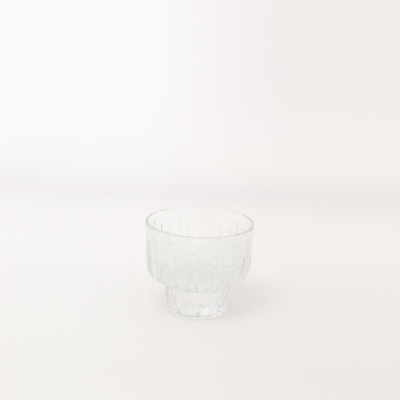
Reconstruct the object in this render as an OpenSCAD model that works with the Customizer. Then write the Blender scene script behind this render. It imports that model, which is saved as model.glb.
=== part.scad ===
// Footed bowl of clear pressed glass: a wide cup on a narrower solid foot, all one piece.
// Below a smooth band at the rim, icicle ridges run down the wall, round the shoulder and down the foot,
// where each one ends in a drip.
// The axis is +Z, and the origin is the centre of the base, on the table.

/* [Bowl] */
// Height from the table to the top of the rim
height = 76; // [70:1:92]
// Outside diameter at the rim
rim_d = 90; // [87:0.5:104]
// Outside diameter where the line of the wall meets the line of the shoulder
shoulder_d = 84; // [79:0.2:86]
// How far that meeting lies above the top of the foot
shoulder_rise = 8.6; // [7:0.2:14]
// Radius of the bend from the wall to the shoulder
shoulder_bend = 11; // [6:0.5:13]

/* [Foot] */
// Height of the foot, up to the line of the shoulder
foot_h = 23.6; // [18:0.2:27]
// Diameter at the top of the foot
foot_top_d = 52.8; // [49:0.2:58]
// Diameter of the foot on the table
foot_d = 51.2; // [46:0.2:55]
// Radius of the hollow corner between the foot and the shoulder
foot_fillet = 2.4; // [1.2:0.2:5]
// Radius of the foot's bottom edge
foot_edge = 1.6; // [0.8:0.2:2.4]
// Diameter of the shallow hollow under the foot
kick_d = 40; // [28:1:41]
// Depth of that hollow
kick_h = 1.6; // [0.8:0.2:3]

/* [Cavity] */
// Thickness of the glass at the rim
rim_t = 2.2; // [1.6:0.1:3]
// Thickness of the wall just above the shoulder
wall_t = 3.2; // [2.4:0.1:4.4]
// How far the middle of the cavity's floor lies below the meeting of wall and shoulder
floor_drop = 4.2; // [2:0.2:6]
// How far the floor climbs from the middle to its corner
floor_rise = 2.2; // [1:0.2:5]
// Radius of the cavity's lower corner
floor_bend = 8; // [5:0.5:12]

/* [Ice relief] */
// Icicle ridges round the bowl
ridge_count = 28; // [20:1:32]
// Height of a ridge on the wall, below its ledge
ridge_h_cup = 0.8; // [0.4:0.1:1.1]
// Height of a ridge on the foot
ridge_h_foot = 1.1; // [0.5:0.1:1.4]
// Share of its height that a ridge has above its ledge
upper_share = 0.55; // [0.3:0.05:0.8]
// Depth of the groove between two ridges
groove_h = 0.4; // [0.1:0.05:0.6]
// Share of a ridge's width from the groove to the edge of its crest
flank = 0.16; // [0.1:0.02:0.3]
// Smooth band between the rim and the longest ridges
smooth_band = 5; // [4:0.5:9]
// How much lower than that the shortest ridges start
fringe_h = 14; // [6:1:18]
// Height over which a ridge or its ledge steps up from the glass
step_h = 1.2; // [0.8:0.1:2]
// How much lower a ridge starts at its edges than at its middle
tip_drop = 2.4; // [0.5:0.1:4]
// Height above the table at which the longest drips end
drip_z = 3.4; // [3:0.2:5]
// How much higher the shortest drips end
drip_spread = 7; // [2:0.5:9]
// How much higher a drip ends at its edges than at its point
drip_point = 4.4; // [1:0.2:6]

/* [Hidden] */
$fn = 128;
rim_r = rim_d / 2;
shoulder_r = shoulder_d / 2;
shoulder_z = foot_h + shoulder_rise;
lip_r = rim_t / 2;
cell = 360 / ridge_count;
// Where the columns of points stand across a ridge, the first one in the groove
across = [0, flank, 0.5, 1 - flank];
cols = len(across);
n = ridge_count * cols;
// Longest step between two rings of points on the shoulder
ring_step = 3.4;

function mix(a, b, t) = a + (b - a) * t;
function smooth(t) = let (u = min(1, max(0, t))) u * u * (3 - 2 * u);
function unit(v) = v / norm(v);
// A number from 0 to 1 for ridge i, spread evenly but out of step from ridge to ridge
function spread(i, step) = (i + ridge_count) * step - floor((i + ridge_count) * step);

// Points of an arc of radius r that rounds the corner b between a and c
function rounded(a, b, c, r, steps) =
    let (
        u = unit(a - b),
        v = unit(c - b),
        half = acos(u * v) / 2,
        middle = b + unit(u + v) * r / sin(half),
        p = b + u * r / tan(half),
        q = b + v * r / tan(half),
        from = atan2(p[1] - middle[1], p[0] - middle[0]),
        to = atan2(q[1] - middle[1], q[0] - middle[0]),
        turn = (to - from + 540) % 360 - 180
    )
    [for (k = [0 : steps]) middle + r * [cos(from + turn * k / steps), sin(from + turn * k / steps)]];

// The same line with long steps divided
function divided(line, step) = [
    for (k = [0 : len(line) - 2])
        let (parts = ceil(norm(line[k + 1] - line[k]) / step))
        for (j = [0 : parts - 1]) mix(line[k], line[k + 1], j / parts),
    line[len(line) - 1]
];

// Outside of the glass as [radius, height]: base edge, straight foot, shoulder, straight wall, lip
base_edge = [foot_d / 2, 0];
foot_top = [foot_top_d / 2, foot_h];
shoulder = [shoulder_r, shoulder_z];
rim_edge = [rim_r, height];
base = rounded([0, 0], base_edge, foot_top, foot_edge, 3);
bend = divided(concat(
    rounded(base_edge, foot_top, shoulder, foot_fillet, 3),
    rounded(foot_top, shoulder, rim_edge, shoulder_bend, 5)
), ring_step);
lip = rounded(shoulder, rim_edge, [0, height], lip_r * 0.9, 4);
foot_from = base[len(base) - 1];
foot_to = bend[0];
wall_from = bend[len(bend) - 1];
wall_to = lip[0];

// Outward normal of a line of the section, seen from its lower end
function normal(a, b) = let (t = unit(b - a)) [t[1], -t[0]];
function bend_normal(j) = normal(bend[max(j - 1, 0)], bend[min(j + 1, len(bend) - 1)]);

// Where ridge i starts, where its ledge is, and where its drip ends
function ridge_top(i) = height - smooth_band - fringe_h * spread(i, 0.618);
function ledge_z(i) = mix(ridge_top(i), wall_from[1], mix(0.35, 0.75, spread(i, 0.3819)));
function drip_end(i) = drip_z + drip_spread * spread(i, 0.2361);
// A height of ridge i at column k, or its mean with ridge i - 1 in the groove, moved by rise at the edges
function arched(k, here, before, rise) =
    (k == 0 ? (here + before) / 2 : here) + rise * pow(2 * across[k] - 1, 2);

// Height of ridge i at height z
function ridge_h(i, z) =
    mix(ridge_h_foot, ridge_h_cup, smooth((z - foot_h) / shoulder_rise))
    * mix(0.6, 1, spread(i, 0.7549)) * (0.87 + 0.13 * sin(360 * (z / 22 + spread(i, 0.5698))));
// How far the groove before ridge i stands from its even place, in cells
function groove_shift(i, z) =
    0.5 * (spread(i, 0.4142) - 0.5) + 0.08 * sin(360 * (z / 37 + spread(i, 0.7321)));
// Angle of column k of ridge i at height z
function column_angle(i, k, z) =
    cell * (i + across[k] + mix(groove_shift(i, z), groove_shift((i + 1) % ridge_count, z), across[k]));
// How far column k of ridge i stands out at height z, where the share of the relief there is 0 to 1
function lift(i, k, z, share) =
    k == 0 ? -groove_h * share : ridge_h(i, z) * share * (1 - 0.6 * pow(2 * across[k] - 1, 2));

// The point at [radius, height] p on column k of ridge i, lifted along normal w
function placed(i, k, p, w, share) =
    let (q = p + w * lift(i, k, p[1], share), a = column_angle(i, k, p[1]))
    [q[0] * cos(a), q[0] * sin(a), q[1]];

// Points of column k of ridge i on the straight line from a to b, one for each [height, share of relief]
function straight(i, k, a, b, levels) = [
    for (l = levels) placed(i, k, mix(a, b, (l[0] - a[1]) / (b[1] - a[1])), normal(a, b), l[1])
];

// Column k of ridge i up the outside of the glass
function column(i, k) =
    let (
        before = (i + ridge_count - 1) % ridge_count,
        drip = arched(k, drip_end(i), drip_end(before), drip_point),
        ledge = arched(k, ledge_z(i), ledge_z(before), -tip_drop),
        top = arched(k, ridge_top(i), ridge_top(before), -tip_drop)
    )
    [
        for (p = base) placed(i, k, p, [0, 0], 0),
        each straight(i, k, foot_from, foot_to, [
            [drip, 0],
            [drip + step_h, 1],
            [mix(drip + step_h, foot_to[1], 1 / 2), 1]
        ]),
        for (j = [0 : len(bend) - 1]) placed(i, k, bend[j], bend_normal(j), 1),
        each straight(i, k, wall_from, wall_to, [
            [mix(wall_from[1], ledge, 1 / 3), 1],
            [mix(wall_from[1], ledge, 2 / 3), 1],
            [ledge, 1],
            [ledge + step_h, upper_share],
            [mix(ledge + step_h, top, 1 / 2), upper_share],
            [top, upper_share],
            [top + step_h, 0],
            [mix(top + step_h, wall_to[1], 1 / 2), 0]
        ]),
        for (p = lip) placed(i, k, p, [0, 0], 0)
    ];

// The outside of the bowl as one closed solid, relief included
module ice_form() {
    columns = [for (i = [0 : ridge_count - 1], k = [0 : cols - 1]) column(i, k)];
    rings = len(columns[0]);
    skin = [for (j = [0 : rings - 1], c = [0 : n - 1]) columns[c][j]];
    walls = [
        for (j = [0 : rings - 2], c = [0 : n - 1])
            let (
                a = j * n + c,
                b = j * n + (c + 1) % n
            )
            each [[a, a + n, b], [b, a + n, b + n]]
    ];
    under = [for (c = [0 : n - 1]) [rings * n, c, (c + 1) % n]];
    over = [for (c = [0 : n - 1]) [rings * n + 1, (rings - 1) * n + (c + 1) % n, (rings - 1) * n + c]];
    polyhedron(concat(skin, [[0, 0, 0], [0, 0, height]]), concat(walls, under, over));
}

// The hollow that is filled: smooth, with a rounded lower corner and a rounded lip
module cavity() {
    floor_z = shoulder_z - floor_drop;
    corner = [shoulder_r - wall_t, floor_z + floor_rise];
    lip_inner = [rim_r - rim_t, height];
    over = 5;
    rotate_extrude() polygon(concat(
        [[0, floor_z]],
        rounded([0, floor_z], corner, lip_inner, floor_bend, 12),
        rounded(corner, lip_inner, lip_inner + [lip_r * 0.9, 0], lip_r * 0.9, 4),
        [[rim_r, height + over], [0, height + over]]
    ));
}

// The shallow hollow under the foot, a slice of a large ball
module kick() {
    ball_r = (pow(kick_d / 2, 2) + pow(kick_h, 2)) / (2 * kick_h);
    translate([0, 0, kick_h - ball_r]) sphere(ball_r);
}

module bowl() {
    color([0.93, 0.95, 0.94, 0.4]) difference() {
        ice_form();
        cavity();
        kick();
    }
}

bowl();
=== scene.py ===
import math
import bpy
from mathutils import Matrix, Vector


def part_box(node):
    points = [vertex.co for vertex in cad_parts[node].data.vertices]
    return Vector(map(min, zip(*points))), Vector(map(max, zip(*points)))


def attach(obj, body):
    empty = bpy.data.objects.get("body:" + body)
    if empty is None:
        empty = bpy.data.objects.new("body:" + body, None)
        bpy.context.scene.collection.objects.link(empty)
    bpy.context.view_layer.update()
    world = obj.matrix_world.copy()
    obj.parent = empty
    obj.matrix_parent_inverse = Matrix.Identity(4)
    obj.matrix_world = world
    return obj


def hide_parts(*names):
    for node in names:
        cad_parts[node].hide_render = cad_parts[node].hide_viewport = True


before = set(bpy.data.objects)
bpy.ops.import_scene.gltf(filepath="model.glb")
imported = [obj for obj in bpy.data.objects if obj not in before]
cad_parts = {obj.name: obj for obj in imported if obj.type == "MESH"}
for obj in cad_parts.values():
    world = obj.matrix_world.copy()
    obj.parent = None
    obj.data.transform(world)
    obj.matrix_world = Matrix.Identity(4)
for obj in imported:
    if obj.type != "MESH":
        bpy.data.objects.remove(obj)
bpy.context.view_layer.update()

# The bowl's body is one gather of glass, pressed in a mould: a wide cup on a narrower solid foot.
# The plunger leaves the inside smooth, and the mould leaves icicle ridges all round the outside,
# from a smooth band under the fire-polished rim down to the foot.
MM = 0.001
bowl_low, bowl_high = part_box("bowl")
HEIGHT = bowl_high.z
RIM_R = (bowl_high.x - bowl_low.x) / 2
RIM_THICK = 2.2 * MM
LIP_ROUND = RIM_THICK * 0.45
SHOULDER_R = 42 * MM
SHOULDER_RISE = 8.6 * MM
SHOULDER_BEND = 11 * MM
FOOT_HIGH = 23.6 * MM
FOOT_TOP_R = 26.4 * MM
FOOT_R = 25.6 * MM
FOOT_FILLET = 2.4 * MM
FOOT_EDGE = 1.6 * MM
KICK_R = 20 * MM
KICK_DEEP = 1.6 * MM
WALL_THICK = 3.2 * MM
FLOOR_DROP = 4.2 * MM
FLOOR_RISE = 2.2 * MM
FLOOR_BEND = 8 * MM
SHOULDER_Z = FOOT_HIGH + SHOULDER_RISE
FLOOR_Z = SHOULDER_Z - FLOOR_DROP
RIDGES = 28
COLUMNS_PER_RIDGE = 15
RING_STEP = 0.68 * MM
# Steps along each arc of the section, and rings across the hollow under the foot and across the floor
EDGE_STEPS, FILLET_STEPS, BEND_STEPS, LIP_STEPS = 6, 8, 16, 7
KICK_RINGS, FLOOR_RINGS = 16, 12


def rounded(before, corner, after, radius, steps):
    """Points of the arc that rounds a corner of the section, each one (distance from the axis, height)."""
    to_before = (before - corner).normalized()
    to_after = (after - corner).normalized()
    half = to_before.angle(to_after) / 2
    middle = corner + (to_before + to_after).normalized() * radius / math.sin(half)
    start = corner + to_before * radius / math.tan(half) - middle
    end = corner + to_after * radius / math.tan(half) - middle
    first = math.atan2(start.y, start.x)
    turn = (math.atan2(end.y, end.x) - first + math.pi) % math.tau - math.pi
    angles = [first + turn * k / steps for k in range(steps + 1)]
    return [middle + radius * Vector((math.cos(a), math.sin(a))) for a in angles]


def spaced(line, step):
    """The same line with its long steps divided."""
    points = []
    for a, b in zip(line, line[1:]):
        parts = max(1, math.ceil((b - a).length / step))
        points += [a.lerp(b, k / parts) for k in range(parts)]
    return points + [line[-1]]


def turned(name, under, outside, inside, around):
    """A closed skin turned from three stretches of the section, from pole to pole, with the outside marked."""
    section = under + outside + inside
    rings = section[1:-1]
    vertices = [(0, 0, section[0].y)]
    for point in rings:
        for c in range(around):
            a = math.tau * c / around
            vertices.append((point.x * math.cos(a), point.x * math.sin(a), point.y))
    vertices.append((0, 0, section[-1].y))
    last = len(vertices) - 1
    faces = []
    for c in range(around):
        d = (c + 1) % around
        faces.append((0, 1 + d, 1 + c))
        faces.append((last, last - around + c, last - around + d))
        for j in range(len(rings) - 1):
            a, b = 1 + j * around, 1 + (j + 1) * around
            faces.append((a + c, a + d, b + d, b + c))
    mesh = bpy.data.meshes.new(name)
    mesh.from_pydata(vertices, [], faces)
    marked = range(len(under), len(under) + len(outside))
    marks = [0.0] + [float(j + 1 in marked) for j in range(len(rings)) for c in range(around)] + [0.0]
    mesh.attributes.new("outside", "FLOAT", "POINT").data.foreach_set("value", marks)
    return mesh


base_edge = Vector((FOOT_R, 0))
foot_top = Vector((FOOT_TOP_R, FOOT_HIGH))
shoulder = Vector((SHOULDER_R, SHOULDER_Z))
rim_edge = Vector((RIM_R, HEIGHT))
rim_inner = Vector((RIM_R - RIM_THICK, HEIGHT))
floor_corner = Vector((SHOULDER_R - WALL_THICK, FLOOR_Z + FLOOR_RISE))
floor_middle = Vector((0, FLOOR_Z))
# The hollow under the foot is a slice of a large ball.
ball = (KICK_R ** 2 + KICK_DEEP ** 2) / (2 * KICK_DEEP)
under = [Vector((r, KICK_DEEP - ball + math.sqrt(ball ** 2 - r ** 2)))
         for r in [KICK_R * k / KICK_RINGS for k in range(KICK_RINGS + 1)]]
shoulder_arc = rounded(foot_top, shoulder, rim_edge, SHOULDER_BEND, BEND_STEPS)
outside = spaced(
    rounded(Vector((KICK_R, 0)), base_edge, foot_top, FOOT_EDGE, EDGE_STEPS)
    + rounded(base_edge, foot_top, shoulder, FOOT_FILLET, FILLET_STEPS)
    + shoulder_arc
    + rounded(shoulder, rim_edge, rim_inner, LIP_ROUND, LIP_STEPS), RING_STEP)
inside = spaced(
    rounded(rim_edge, rim_inner, floor_corner, LIP_ROUND, LIP_STEPS)
    + rounded(rim_inner, floor_corner, floor_middle, FLOOR_BEND, BEND_STEPS), 2 * RING_STEP)
inside += [inside[-1].lerp(floor_middle, k / FLOOR_RINGS) for k in range(1, FLOOR_RINGS + 1)]
bowl_mesh = turned("bowl_glass", under, outside, inside, RIDGES * COLUMNS_PER_RIDGE)


def add_node(tree, kind, feeds=(), **settings):
    """Adds a node with its settings, and feeds each input with a socket, a field or a plain value."""
    made = tree.nodes.new(kind)
    for name, value in settings.items():
        setattr(made, name, value)
    places = feeds.items() if isinstance(feeds, dict) else enumerate(feeds)
    for place, feed in places:
        feed = getattr(feed, "socket", feed)
        if isinstance(feed, bpy.types.NodeSocket):
            tree.links.new(feed, made.inputs[place])
        else:
            made.inputs[place].default_value = feed
    return made


class Field:
    """A number at each point of a piece. Plain arithmetic on it adds Math nodes to its tree."""

    def __init__(self, tree, socket):
        self.tree = tree
        self.socket = socket

    def worked(self, operation, *others):
        made = add_node(self.tree, "ShaderNodeMath", (self, *others), operation=operation)
        return Field(self.tree, made.outputs[0])

    def __add__(self, other):
        return self.worked("ADD", other)

    def __sub__(self, other):
        return self.worked("SUBTRACT", other)

    def __mul__(self, other):
        return self.worked("MULTIPLY", other)

    def __truediv__(self, other):
        return self.worked("DIVIDE", other)

    def rest(self):
        """What this number leaves of 1."""
        return self * -1 + 1

    def mixed(self, other, share):
        """This number where share is 0, the other one where it is 1."""
        return self + (self * -1 + other) * share

    def eased(self):
        """0 below 0, 1 above 1, and a smooth rise between."""
        made = add_node(self.tree, "ShaderNodeMapRange", {"Value": self}, interpolation_type="SMOOTHSTEP")
        return Field(self.tree, made.outputs["Result"])


# Each ridge is a rib of the same glass, cut into the mould as an icicle: it starts at its own height,
# swells at a ledge, and follows its own slightly wavy way round the shoulder and down to a drip.
RELIEF = {
    "Ridges": RIDGES,
    "Ridge height on the wall": 0.8 * MM,
    "Ridge height on the foot": 1.1 * MM,
    "Lowest ridge": 0.6,
    "Swell": 0.13,
    "Swell length": 22 * MM,
    "Crest fall": 0.6,
    "Share above the ledge": 0.55,
    "Nearest ledge": 0.35,
    "Furthest ledge": 0.75,
    "Groove depth": 0.4 * MM,
    "Groove play": 0.5,
    "Sway": 0.08,
    "Sway length": 37 * MM,
    "Flank share": 0.16,
    "Longest ridge top": HEIGHT - 5 * MM,
    "Fringe": 14 * MM,
    "Step height": 1.2 * MM,
    "Tip drop": 2.4 * MM,
    "Wall start": shoulder_arc[-1].y,
    "Foot height": FOOT_HIGH,
    "Shoulder rise": SHOULDER_RISE,
    "Lowest drip": 3.4 * MM,
    "Drip spread": 7 * MM,
    "Drip point": 4.4 * MM,
    "Fine ice depth": 0.06 * MM,
    "Fine ice size": 2.6 * MM,
    "Seed": 4.0,
    "Share of grained crests": 0.58,
    "Clear crest rise": 6.0,
    "Clear ledges": 1.0,
    "Clear lip": 0.7,
    "Lip height": 5 * MM,
    "Grain on the smooth band": 0.3,
    "Grain in the grooves": 1.8,
    "Grain on the foot's edge": 1.5,
    "Foot edge height": 3 * MM,
}
# What differs from ridge to ridge comes from the ridge's number times one of these steps, so no two
# ridges are alike and neighbours are far apart.
OUT_OF_STEP = {"top": 0.618, "ledge": 0.3819, "drip": 0.2361, "height": 0.7549, "swell": 0.5698,
               "groove": 0.4142, "sway": 0.7321, "clear": 0.3028}
# The fine ice on the ridges is two and a half times as long as it is wide.
ICE_STRETCH = (1, 1, 0.4)
ICE_DETAIL = 1.5


def ice_relief(material):
    """A tree that lifts the outside of a turned skin into icicle ridges with grooves between them."""
    tree = bpy.data.node_groups.new("ice_relief", "GeometryNodeTree")
    tree.is_modifier = True
    tree.interface.new_socket("Skin", in_out="INPUT", socket_type="NodeSocketGeometry")
    for name in RELIEF:
        tree.interface.new_socket(name, in_out="INPUT", socket_type="NodeSocketFloat")
    tree.interface.new_socket("Glass", in_out="OUTPUT", socket_type="NodeSocketGeometry")
    given = add_node(tree, "NodeGroupInput")
    size = {name: Field(tree, given.outputs[name]) for name in RELIEF}
    place = add_node(tree, "GeometryNodeInputPosition").outputs[0]
    apart = add_node(tree, "ShaderNodeSeparateXYZ", (place,))
    x, y, z = [Field(tree, apart.outputs[k]) for k in range(3)]
    marked = add_node(tree, "GeometryNodeInputNamedAttribute", {"Name": "outside"}, data_type="FLOAT")
    pressed = Field(tree, marked.outputs["Attribute"])

    # The ridge a point is on, its way across that ridge, and the ridge beyond the nearer groove
    ridges = size["Ridges"]
    turn = (y.worked("ARCTAN2", x) / math.tau + 1) * ridges
    ridge = turn.worked("FLOOR").worked("FLOORED_MODULO", ridges)
    across = turn.worked("FRACT")
    from_middle = (across * 2 - 1).worked("ABSOLUTE")
    from_groove = (from_middle.rest() / 2 / size["Flank share"]).eased()
    right_half = across.worked("GREATER_THAN", 0.5)
    after = (ridge + 1).worked("FLOORED_MODULO", ridges)
    beside = (ridge + right_half * 2 - 1 + ridges).worked("FLOORED_MODULO", ridges)
    arch, point = [size[name] * from_middle * from_middle for name in ("Tip drop", "Drip point")]

    def spread(i, what):
        """A number from 0 to 1 for ridge i, out of step from ridge to ridge."""
        return ((i + ridges) * OUT_OF_STEP[what]).worked("FRACT")

    def wave(i, length, what):
        """A wave of the given length down ridge i, from -1 to 1."""
        return ((z / length + spread(i, what)) * math.tau).worked("SINE")

    def share(i):
        """How much of ridge i there is: none above its top, part above its ledge, all down to its drip."""
        top = size["Longest ridge top"] - size["Fringe"] * spread(i, "top")
        down = size["Nearest ledge"].mixed(size["Furthest ledge"], spread(i, "ledge"))
        ledge = top.mixed(size["Wall start"], down)
        above, below = [((edge - arch - z) / size["Step height"] + 1).eased() for edge in (top, ledge)]
        drip = size["Lowest drip"] + size["Drip spread"] * spread(i, "drip") + point
        started = above * size["Share above the ledge"] + below * size["Share above the ledge"].rest()
        return started * ((z - drip) / size["Step height"]).eased(), below

    def swing(i):
        """How far the groove before ridge i stands from its even place, in ridges."""
        play = (spread(i, "groove") - 0.5) * size["Groove play"]
        return play + wave(i, size["Sway length"], "sway") * size["Sway"]

    # How far the point is lifted: ridges and fine ice outwards, grooves inwards
    on_wall = ((z - size["Foot height"]) / size["Shoulder rise"]).eased()
    height = size["Ridge height on the foot"].mixed(size["Ridge height on the wall"], on_wall)
    height = height * size["Lowest ridge"].mixed(1, spread(ridge, "height"))
    height = height * (wave(ridge, size["Swell length"], "swell") * size["Swell"] + size["Swell"].rest())
    (own, below), (other, _) = share(ridge), share(beside)
    crest = (from_middle * from_middle * size["Crest fall"]).rest()
    groove = ((own + other) / 2).mixed(own, from_groove) * size["Groove depth"] * from_groove.rest()
    ice = add_node(tree, "ShaderNodeVectorMath", (place, ICE_STRETCH), operation="MULTIPLY").outputs[0]
    ice = add_node(tree, "ShaderNodeTexNoise", {
        "Vector": ice, "W": size["Seed"], "Detail": ICE_DETAIL,
        "Scale": size["Fine ice size"].worked("POWER", -1)}, noise_dimensions="4D")
    fine = (Field(tree, ice.outputs[0]) - 0.5) * 2 * size["Fine ice depth"] * own
    lift = (own * height * crest * from_groove - groove + fine) * pressed
    normal = add_node(tree, "GeometryNodeInputNormal").outputs[0]
    raised = add_node(tree, "ShaderNodeVectorMath", {0: normal, "Scale": lift}, operation="SCALE").outputs[0]
    raised = add_node(tree, "ShaderNodeVectorMath", (place, raised), operation="ADD").outputs[0]
    drift = swing(ridge).mixed(swing(after), across) * math.tau / ridges
    moved = add_node(tree, "ShaderNodeVectorRotate", {"Vector": raised, "Angle": drift}, rotation_type="Z_AXIS")
    shaped = add_node(tree, "GeometryNodeSetPosition", {
        "Geometry": given.outputs["Skin"], "Position": moved.outputs[0]})

    # How much grain the point has: most in the grooves and at the foot's edge, and none on the ledges and
    # crests that the mould has polished clear
    at_ledge = below * below.rest() * 4 * size["Clear ledges"]
    on_crest = (from_middle.rest() * 2).eased() * on_wall.rest()
    clear_ridge = (spread(ridge, "clear") - size["Share of grained crests"]) * size["Clear crest rise"]
    on_crest = on_crest * clear_ridge.eased()
    on_lip = ((z - HEIGHT) / size["Lip height"] + 1).eased() * size["Clear lip"]
    cleared = at_ledge.worked("MAXIMUM", on_crest).worked("MAXIMUM", on_lip)
    grained = size["Grain on the smooth band"].mixed(1, own)
    grained = grained * size["Grain in the grooves"].mixed(1, from_groove)
    on_foot_edge = (z / size["Foot edge height"]).rest().eased() * size["Grain on the foot's edge"]
    grained = (grained * cleared.rest()).worked("MAXIMUM", on_foot_edge) * pressed
    kept = add_node(tree, "GeometryNodeStoreNamedAttribute", {
        "Geometry": shaped.outputs[0], "Name": "ice", "Value": grained}, data_type="FLOAT")
    smooth = add_node(tree, "GeometryNodeSetShadeSmooth", (kept.outputs[0],))
    real = add_node(tree, "GeometryNodeRealizeInstances", (smooth.outputs[0],))
    dressed = add_node(tree, "GeometryNodeSetMaterial", {"Geometry": real.outputs[0], "Material": material})
    add_node(tree, "NodeGroupOutput", (dressed.outputs[0],))
    return tree


def linear(colour):
    """A linear colour from an sRGB one written as six hex digits."""
    parts = [int(colour[k:k + 2], 16) / 255 for k in (0, 2, 4)]
    return [p / 12.92 if p <= 0.04045 else ((p + 0.055) / 1.055) ** 2.4 for p in parts] + [1]


def new_material(name):
    """An empty material and its tree, shader and output."""
    material = bpy.data.materials.new(name)
    material.use_nodes = True
    tree = material.node_tree
    tree.nodes.clear()
    shader = add_node(tree, "ShaderNodeBsdfPrincipled")
    add_node(tree, "ShaderNodeOutputMaterial", {"Surface": shader.outputs[0]})
    return material, tree, shader


# Clear soda-lime glass, colourless, pressed and fire polished: it shows what is behind it, bent by the
# ridges. Inside and on the rim the fire has made it smooth. Outside, the mould leaves a fine grain that
# dims what lies behind. The real grain is about 0.1 mm, too fine to show, so it is drawn 0.5 mm across.
GLASS_COLOUR = "FDFEFD"
GLASS_IOR = 1.5
POLISHED = 0.01
GRAINY = 0.07
GRAIN = 0.5 * MM
GRAIN_DEEP = 0.25 * MM
GRAIN_DETAIL = 1.0
glass, tree, shader = new_material("pressed_soda_lime_glass")
shader.inputs["Base Color"].default_value = linear(GLASS_COLOUR)
shader.inputs["Transmission Weight"].default_value = 1
shader.inputs["IOR"].default_value = GLASS_IOR
ice = Field(tree, add_node(tree, "ShaderNodeAttribute", attribute_name="ice").outputs["Fac"])
tree.links.new((ice * (GRAINY - POLISHED) + POLISHED).socket, shader.inputs["Roughness"])
place = add_node(tree, "ShaderNodeTexCoord").outputs["Object"]
grain = add_node(tree, "ShaderNodeTexNoise", {"Vector": place, "Scale": 1 / GRAIN, "Detail": GRAIN_DETAIL})
grain = add_node(tree, "ShaderNodeBump", {"Strength": ice, "Distance": GRAIN_DEEP, "Height": grain.outputs[0]})
tree.links.new(grain.outputs[0], shader.inputs["Normal"])

bowl = bpy.data.objects.new("bowl_glass", bowl_mesh)
bpy.context.scene.collection.objects.link(bowl)
relief = bowl.modifiers.new("ice_relief", "NODES")
relief.node_group = ice_relief(glass)
for socket in relief.node_group.interface.items_tree:
    if socket.in_out == "INPUT" and socket.name in RELIEF:
        relief[socket.identifier] = float(RELIEF[socket.name])
ready = bpy.context.evaluated_depsgraph_get()
bowl_mesh = bpy.data.meshes.new_from_object(bowl.evaluated_get(ready), depsgraph=ready)
bowl.modifiers.clear()
bowl.data = bowl_mesh
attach(bowl, "root")
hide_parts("bowl")

# The table is a wide, matt, warm white top that runs back and sweeps up into a plain pale backdrop.
# It is one painted board with no gloss, and the bowl stands free on it.
STAGE_HALF = 2.4
STAGE_FRONT = -1.6
STAGE_HIGH = 1.6
SWEEP_FROM = 0.36
SWEEP_RADIUS = 0.16
SWEEP_STEPS = 24
sweep = [Vector((SWEEP_FROM + SWEEP_RADIUS * math.sin(a), SWEEP_RADIUS * (1 - math.cos(a))))
         for a in [math.pi / 2 * k / SWEEP_STEPS for k in range(SWEEP_STEPS + 1)]]
profile = [Vector((STAGE_FRONT, 0))] + sweep + [Vector((SWEEP_FROM + SWEEP_RADIUS, STAGE_HIGH))]
stage_mesh = bpy.data.meshes.new("table_and_backdrop")
stage_mesh.from_pydata([(side * STAGE_HALF, p.x, p.y) for p in profile for side in (-1, 1)], [],
                       [(2 * k, 2 * k + 1, 2 * k + 3, 2 * k + 2) for k in range(len(profile) - 1)])
stage_mesh.shade_smooth()
stage = bpy.data.objects.new("table_and_backdrop", stage_mesh)
bpy.context.scene.collection.objects.link(stage)
# Matt warm white paint. It shows as plain white to the eye and through the glass, and still holds a soft
# shadow.
# Its tones, set in metres back along the table and up the backdrop, are painted light and shade: lighter
# towards the back, with a painted shade band where the table sweeps up into the backdrop, and a painted
# fall-off that darkens it to the right.
BOARD_COLOUR = "F4F2F0"
SHOWN_SHARE = 0.65
SHOWN_ABOVE = 0.92
SHOWN_IN_GLASS = 0.9
# Painted light and shade along the board: lighter towards the back, with a painted shade band near 0.37 where
# the table sweeps up into the backdrop.
PAINTED_LIGHT_TONES = {-0.13: "EEECEA", -0.05: "F3F1EF", 0.06: "F5F3F2", 0.17: "FBF9F9", 0.27: "FBF9F9",
         0.37: "F3EFF2", 0.46: "FDFBFC", 0.53: "FEFBFD", 0.60: "FDFAFB"}
# Painted fall-off of the light: these tints darken the board towards the right, one on the table and one up the
# backdrop.
PAINTED_FALLOFF_RIGHT = "FAF7F4"
PAINTED_FALLOFF_UP_RIGHT = "F3F2F0"
RIGHT_FROM, RIGHT_TO = -0.1, 0.12
RISE = 0.12
# The Mix node has sockets for numbers and for colours side by side, so they are fed by their places.
NUMBER_A, NUMBER_B = 2, 3
COLOUR_A, COLOUR_B, COLOUR_OUT = 6, 7, 2
board, tree, shader = new_material("matt_warm_white_board")
shader.inputs["Base Color"].default_value = linear(BOARD_COLOUR)
shader.inputs["Roughness"].default_value = 1
shader.inputs["Specular IOR Level"].default_value = 0
place = add_node(tree, "ShaderNodeSeparateXYZ", (add_node(tree, "ShaderNodeTexCoord").outputs["Object"],))
x, y, z = [Field(tree, place.outputs[k]) for k in range(3)]
nearest, furthest = min(PAINTED_LIGHT_TONES), max(PAINTED_LIGHT_TONES)
painted_light_ramp = add_node(tree, "ShaderNodeValToRGB", ((y + z - nearest) / (furthest - nearest),))
stops = painted_light_ramp.color_ramp.elements
stops[0].color, stops[-1].color = linear(PAINTED_LIGHT_TONES[nearest]), linear(PAINTED_LIGHT_TONES[furthest])
for way, colour in PAINTED_LIGHT_TONES.items():
    if nearest < way < furthest:
        stops.new((way - nearest) / (furthest - nearest)).color = linear(colour)
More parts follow.
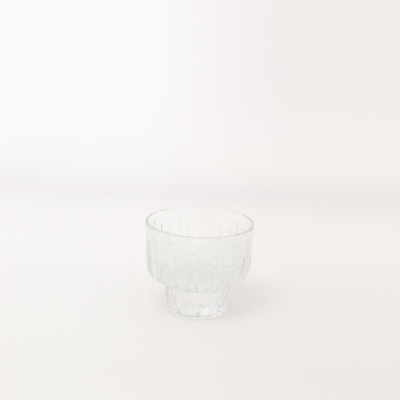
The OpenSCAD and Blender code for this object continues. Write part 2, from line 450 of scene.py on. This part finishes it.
# The painted fall-off grows from left to right across this span and multiplies the painted tones.
falloff_to_right = add_node(tree, "ShaderNodeMapRange", {"Value": x, "From Min": RIGHT_FROM, "From Max": RIGHT_TO},
                    interpolation_type="SMOOTHSTEP")
upward = (z / RISE).eased()
painted_falloff = add_node(tree, "ShaderNodeMix", {
    0: upward, COLOUR_A: linear(PAINTED_FALLOFF_RIGHT), COLOUR_B: linear(PAINTED_FALLOFF_UP_RIGHT)}, data_type="RGBA")
painted_light_tone = add_node(tree, "ShaderNodeMix", {
    0: falloff_to_right.outputs[0], COLOUR_A: painted_light_ramp.outputs[0], COLOUR_B: painted_falloff.outputs[COLOUR_OUT]},
    data_type="RGBA", blend_type="MULTIPLY")
glow = add_node(tree, "ShaderNodeEmission", {"Color": painted_light_tone.outputs[COLOUR_OUT], "Strength": 1.0})
rays = add_node(tree, "ShaderNodeLightPath")
shown = Field(tree, rays.outputs["Is Camera Ray"]) * (upward * (SHOWN_ABOVE - SHOWN_SHARE) + SHOWN_SHARE)
for kind in ("Is Glossy Ray", "Is Transmission Ray"):
    shown = shown.worked("MAXIMUM", Field(tree, rays.outputs[kind]) * SHOWN_IN_GLASS)
both = add_node(tree, "ShaderNodeMixShader", (shown, shader.outputs[0], glow.outputs[0]))
tree.links.new(both.outputs[0], tree.nodes["Material Output"].inputs["Surface"])
stage_mesh.materials.append(board)

# Soft daylight comes from all round, evenly for matt things. The glass shows a room that is darker on the
# camera's side than behind the bowl, and past the board the camera sees a plain pale grey.
SKY_LIGHT = 0.7
SKY_SEEN = 0.92
ROOM_DARKEST = 0.4
ROOM_LIGHT_FROM = 0.4
world = bpy.data.worlds.new("daylight")
bpy.context.scene.world = world
world.use_nodes = True
sky = world.node_tree
sky.nodes.clear()
way = add_node(sky, "ShaderNodeSeparateXYZ", (add_node(sky, "ShaderNodeTexCoord").outputs["Generated"],))
room = add_node(sky, "ShaderNodeMapRange", {
    "Value": way.outputs["Y"], "From Min": -1.0, "From Max": ROOM_LIGHT_FROM,
    "To Min": ROOM_DARKEST, "To Max": 1.0}, interpolation_type="SMOOTHSTEP")
rays = add_node(sky, "ShaderNodeLightPath")
in_glass = Field(sky, rays.outputs["Is Glossy Ray"]).worked("MAXIMUM", rays.outputs["Is Transmission Ray"])
shown = add_node(sky, "ShaderNodeMix", {
    0: in_glass, NUMBER_A: SKY_LIGHT, NUMBER_B: room.outputs[0]}, data_type="FLOAT")
shown = add_node(sky, "ShaderNodeMix", {
    0: rays.outputs["Is Camera Ray"], NUMBER_A: shown.outputs[0], NUMBER_B: SKY_SEEN}, data_type="FLOAT")
background = add_node(sky, "ShaderNodeBackground", {"Color": shown.outputs[0], "Strength": 1.0})
add_node(sky, "ShaderNodeOutputWorld", {"Surface": background.outputs[0]})

# A window high in front on the left lays the soft shadow on the table. The glass doesn't show it.
WINDOW_WIDE = 0.6
WINDOW_POWER = 5
WINDOW_AWAY = 1.2
WINDOW_AIMED = Vector((0, 0, 0.04))
toward = Vector((-0.25, -0.42, 0.87)).normalized()
lamp = bpy.data.lights.new("window", "AREA")
lamp.shape = "DISK"
lamp.size = WINDOW_WIDE
lamp.energy = WINDOW_POWER
window = bpy.data.objects.new("window", lamp)
bpy.context.scene.collection.objects.link(window)
window.visible_glossy = False
window.visible_transmission = False
window.location = toward * WINDOW_AWAY + WINDOW_AIMED
window.rotation_euler = (-toward).to_track_quat("-Z", "Y").to_euler()

# The camera stands in front and a little above, turned a touch clockwise, as the photograph was taken.
FOCAL_PIXELS = 1096
FRAME_PIXELS = 400
SENSOR_WIDE = 36
CAMERA_RAISED = math.radians(16.5)
CAMERA_AWAY = 0.9
CAMERA_ROLL = math.radians(2.2)
RIM_CENTRE_PIXEL = Vector((199.9, 221.2))
camera = bpy.data.cameras.new("camera")
camera.sensor_width = SENSOR_WIDE
camera.lens = FOCAL_PIXELS / FRAME_PIXELS * SENSOR_WIDE
eye = bpy.data.objects.new("camera", camera)
bpy.context.scene.collection.objects.link(eye)
rim_centre = Vector((0, 0, HEIGHT))
back = Vector((0, -math.cos(CAMERA_RAISED), math.sin(CAMERA_RAISED)))
# The rim's centre lies off the picture's centre, so the aim is turned by that many pixels.
offset = (RIM_CENTRE_PIXEL - Vector((FRAME_PIXELS / 2, FRAME_PIXELS / 2))) / FOCAL_PIXELS
aim = (-back).to_track_quat("-Z", "Y").to_matrix()
roll = Matrix.Rotation(CAMERA_ROLL, 3, "Z")
lean = Matrix.Rotation(math.atan(offset.y), 3, "X") @ Matrix.Rotation(math.atan(offset.x), 3, "Y")
eye.matrix_world = Matrix.Translation(rim_centre + back * CAMERA_AWAY) @ (aim @ roll @ lean).to_4x4()
bpy.context.scene.camera = eye

# Light turns many times inside thick glass before it leaves, so its path may be this many steps long.
GLASS_PATH = 40
GLOSS_PATH = 24
bpy.context.scene.view_settings.view_transform = "Standard"
bpy.context.scene.cycles.max_bounces = GLASS_PATH
bpy.context.scene.cycles.transmission_bounces = GLASS_PATH
bpy.context.scene.cycles.glossy_bounces = GLOSS_PATH
